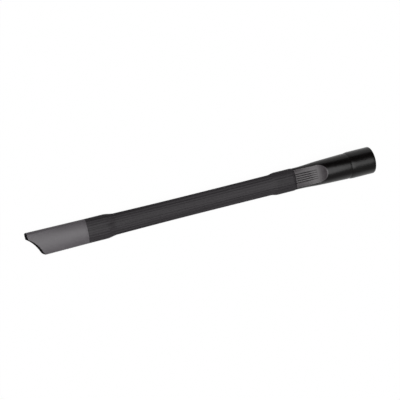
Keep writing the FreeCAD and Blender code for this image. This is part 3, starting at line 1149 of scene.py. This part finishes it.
# The connector's own ABS where the mould is etched for grip: finer and a little darker than the tip.
# The real grain is about 0.2 mm; it is drawn coarser here too.
ETCHED_ABS = MouldedFinish(
    name="etched_black_abs", dark="#393437", light="#454043", roughness=0.44, roughness_spread=0.03,
    ior=1.52, grain_mm=(1.2, 1.2, 1.2), grain_depth_mm=0.012, cloud_mm=(20.0, 8.0, 8.0), specular=0.5,
)

# The same polypropylene off the smooth core and the trimmed rim: black, without the grain's grey bloom.
# This is partly the smooth finish's own colour and partly painted shade: near black with almost no
# reflection, so the inside of the mouth stays dark where light does not reach.
SMOOTH_POLYPROPYLENE_AND_PAINTED_SHADE = MouldedFinish(
    name="smooth_polypropylene_painted_shade", dark="#050505", light="#0a0a0a", roughness=0.45,
    roughness_spread=0.03, ior=1.49, grain_mm=(6.0, 2.0, 2.0), grain_depth_mm=0.004,
    cloud_mm=(40.0, 14.0, 14.0), specular=0.02,
)

# Soft thermoplastic elastomer: dull and dark, with faint flow lines drawn out along the tube.
MATT_ELASTOMER = MouldedFinish(
    name="matt_black_elastomer", dark="#1a171a", light="#373437", roughness=0.5, roughness_spread=0.05,
    ior=1.5, grain_mm=(250.0, 1.1, 1.1), grain_depth_mm=0.02, cloud_mm=(300.0, 3.0, 3.0), specular=0.22,
)


@dataclass(frozen=True)
class PhotoCamera:
    """Camera at the photograph's angle."""

    lens_mm: float = 198.0  # Focal length.
    sensor_mm: float = 36.0
    axis_tilt: float = 20.2  # Degrees by which the tool's axis comes towards the camera at the nozzle.
    lean: float = 7.0  # Degrees by which the camera leans over the hook's side.
    picture_angle: float = 14.08  # Degrees by which the axis climbs to the right in the picture.
    depth_mm: float = 3387.3  # Distance to the middle of the socket's open end, along the line of sight.
    mouth_right_mm: float = 261.9  # Its place to the right of the picture's middle.
    mouth_up_mm: float = 61.7  # Its place above the picture's middle.
    sight_m: float = 100.0  # Distance up to which the camera sees.

    def turn(self) -> Matrix:
        """Work out how the camera is turned.

        Returns:
            Rotation from the camera's axes to the tool's.
        """
        tilt, lean, angle = (math.radians(v) for v in (self.axis_tilt, self.lean, self.picture_angle))
        along = Vector((math.cos(angle), math.sin(angle), 0.0))
        across = Vector((-math.sin(angle), math.cos(angle), 0.0))
        toward = Vector((0.0, 0.0, 1.0))
        face = along * math.sin(tilt) + toward * math.cos(tilt)
        x_axis = along * math.cos(tilt) - toward * math.sin(tilt)
        y_axis = across * math.cos(lean) + face * math.sin(lean)
        z_axis = face * math.cos(lean) - across * math.sin(lean)
        return Matrix((x_axis, y_axis, z_axis))

    def build(self, frame: ToolFrame) -> None:
        """Set the camera up.

        Args:
            frame: Where the mouldings lie.
        """
        data = bpy.data.cameras.new("photo_camera")
        data.sensor_width = self.sensor_mm
        data.lens = self.lens_mm
        data.clip_end = self.sight_m
        camera = put("photo_camera", data)
        turn = self.turn()
        seen = Vector((self.mouth_right_mm, self.mouth_up_mm, -self.depth_mm)) * MM
        camera.matrix_world = Matrix.Translation(frame.place(0.0, 0.0, 0.0) - turn @ seen) @ turn.to_4x4()
        bpy.context.scene.camera = camera


@dataclass(frozen=True)
class Softbox:
    """Large soft lamp, far off, so that it lights the whole floor evenly."""

    name: str
    azimuth: float  # Degrees from +X towards +Y of the side it stands on.
    elevation: float  # Degrees above the floor.
    spread: float  # Degrees that it covers, seen from the tool.
    strength: float  # Light that it gives.

    def build(self) -> None:
        """Hang the lamp."""
        data = bpy.data.lights.new(self.name, type="SUN")
        data.energy = self.strength
        data.angle = math.radians(self.spread)
        lamp = put(self.name, data)
        azimuth, elevation = math.radians(self.azimuth), math.radians(self.elevation)
        flat = math.cos(elevation)
        toward = Vector((flat * math.cos(azimuth), flat * math.sin(azimuth), math.sin(elevation)))
        lamp.rotation_euler = toward.to_track_quat("Z", "Y").to_euler()


@dataclass
class Studio:
    """White floor, pale surroundings and soft lamps."""

    floor_colour: str = "#949494"  # Colour of the floor for the light that it throws back.
    # How far the floor is seen as pure white; the rest is white paper with the tool's shadow.
    floor_glow: float = 0.97
    floor_side_m: float = 60.0
    lip_rise_m: float = 0.0023  # Height of the mouth's resting lip over the tip's lowest point.
    horizon: float = 1.0  # Light of the surroundings at the floor's level.
    ceiling: float = 0.016  # Light of the dim studio overhead.
    fill: float = 0.05  # Light that reaches dull surfaces from all round.
    # Height at which the pale surroundings start to dim, as the sine of the angle.
    horizon_top: float = 0.09
    ceiling_start: float = 0.2  # Height at which they are as dim as the ceiling.
    lamps: tuple[Softbox, ...] = (
        Softbox("key_softbox", azimuth=-20.0, elevation=84.5, spread=50.0, strength=2.6),
        Softbox("front_softbox", azimuth=-90.0, elevation=40.0, spread=76.0, strength=0.55),
    )

    def paper(self) -> Material:
        """Make the floor's material.

        Returns:
            Paper that is seen white and throws back the light of a grey floor.
        """
        made = bpy.data.materials.new("white_paper")
        tree = cleared(made)
        shown = shown_rays(tree)
        tints = {"Factor": shown, "A": linear(self.floor_colour), "B": linear(WHITE)}
        tint = add_node(tree, "ShaderNodeMix", tints, data_type="RGBA")
        paper = add_node(tree, "ShaderNodeBsdfDiffuse", {"Color": tint.outputs["Result"]})
        glow = add_node(tree, "ShaderNodeEmission", {"Strength": 1.0})
        share = reckon(tree, "MULTIPLY", shown, self.floor_glow)
        lit = add_node(
            tree, "ShaderNodeMixShader", {0: share, 1: paper.outputs["BSDF"], 2: glow.outputs["Emission"]},
        )
        add_node(tree, "ShaderNodeOutputMaterial", {"Surface": lit.outputs["Shader"]})
        return made

    def floor(self) -> None:
        """Lay the floor so that the tool rests on its collar and on the lip of its mouth."""
        collar_x, collar_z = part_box("connector")[1].x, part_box("connector")[0].z
        tip_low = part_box("nozzle_tip")[0]
        tilt = math.atan2(tip_low.z + self.lip_rise_m - collar_z, collar_x - tip_low.x)
        bm = bmesh.new()
        bmesh.ops.create_grid(bm, x_segments=1, y_segments=1, size=self.floor_side_m / 2)
        bmesh.ops.rotate(bm, verts=bm.verts[:], matrix=Matrix.Rotation(tilt, 3, "Y"))
        bmesh.ops.translate(bm, verts=bm.verts[:], vec=Vector((collar_x, 0.0, collar_z)))
        mesh = bpy.data.meshes.new("floor")
        bm.to_mesh(mesh)
        bm.free()
        mesh.materials.append(self.paper())
        floor = put("floor", mesh)

    def surroundings(self) -> None:
        """Make the world pale at the horizon and dim overhead."""
        world = bpy.data.worlds.new("studio")
        tree = cleared(world)
        coords = add_node(tree, "ShaderNodeTexCoord", {})
        axes = add_node(tree, "ShaderNodeSeparateXYZ", {"Vector": coords.outputs["Generated"]})
        light = add_node(
            tree, "ShaderNodeMapRange",
            {
                "Value": axes.outputs["Z"], "From Min": self.horizon_top, "From Max": self.ceiling_start,
                "To Min": self.horizon, "To Max": self.ceiling,
            },
            interpolation_type="SMOOTHSTEP", clamp=True,
        )
        levels = {"Factor": shown_rays(tree), "A": self.fill, "B": light.outputs["Result"]}
        strength = add_node(tree, "ShaderNodeMix", levels, data_type="FLOAT").outputs["Result"]
        sky = add_node(tree, "ShaderNodeBackground", {"Color": linear(WHITE), "Strength": strength})
        add_node(tree, "ShaderNodeOutputWorld", {"Surface": sky.outputs["Background"]})
        bpy.context.scene.world = world

    def build(self) -> None:
        """Set the studio up."""
        self.floor()
        self.surroundings()
        for lamp in self.lamps:
            lamp.build()
        bpy.context.scene.view_settings.view_transform = "Standard"


def main() -> None:
    """Build the mouldings in order and set up the studio."""
    logging.basicConfig(level=logging.INFO, format="%(name)s %(message)s")
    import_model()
    frame = ToolFrame.read()
    fits = Fits()
    for moulding in (Connector, FlexibleTube, NozzleTip):
        moulding(frame, fits).build()
    Studio().build()
    PhotoCamera().build(frame)


if __name__ == "__main__":
    main()
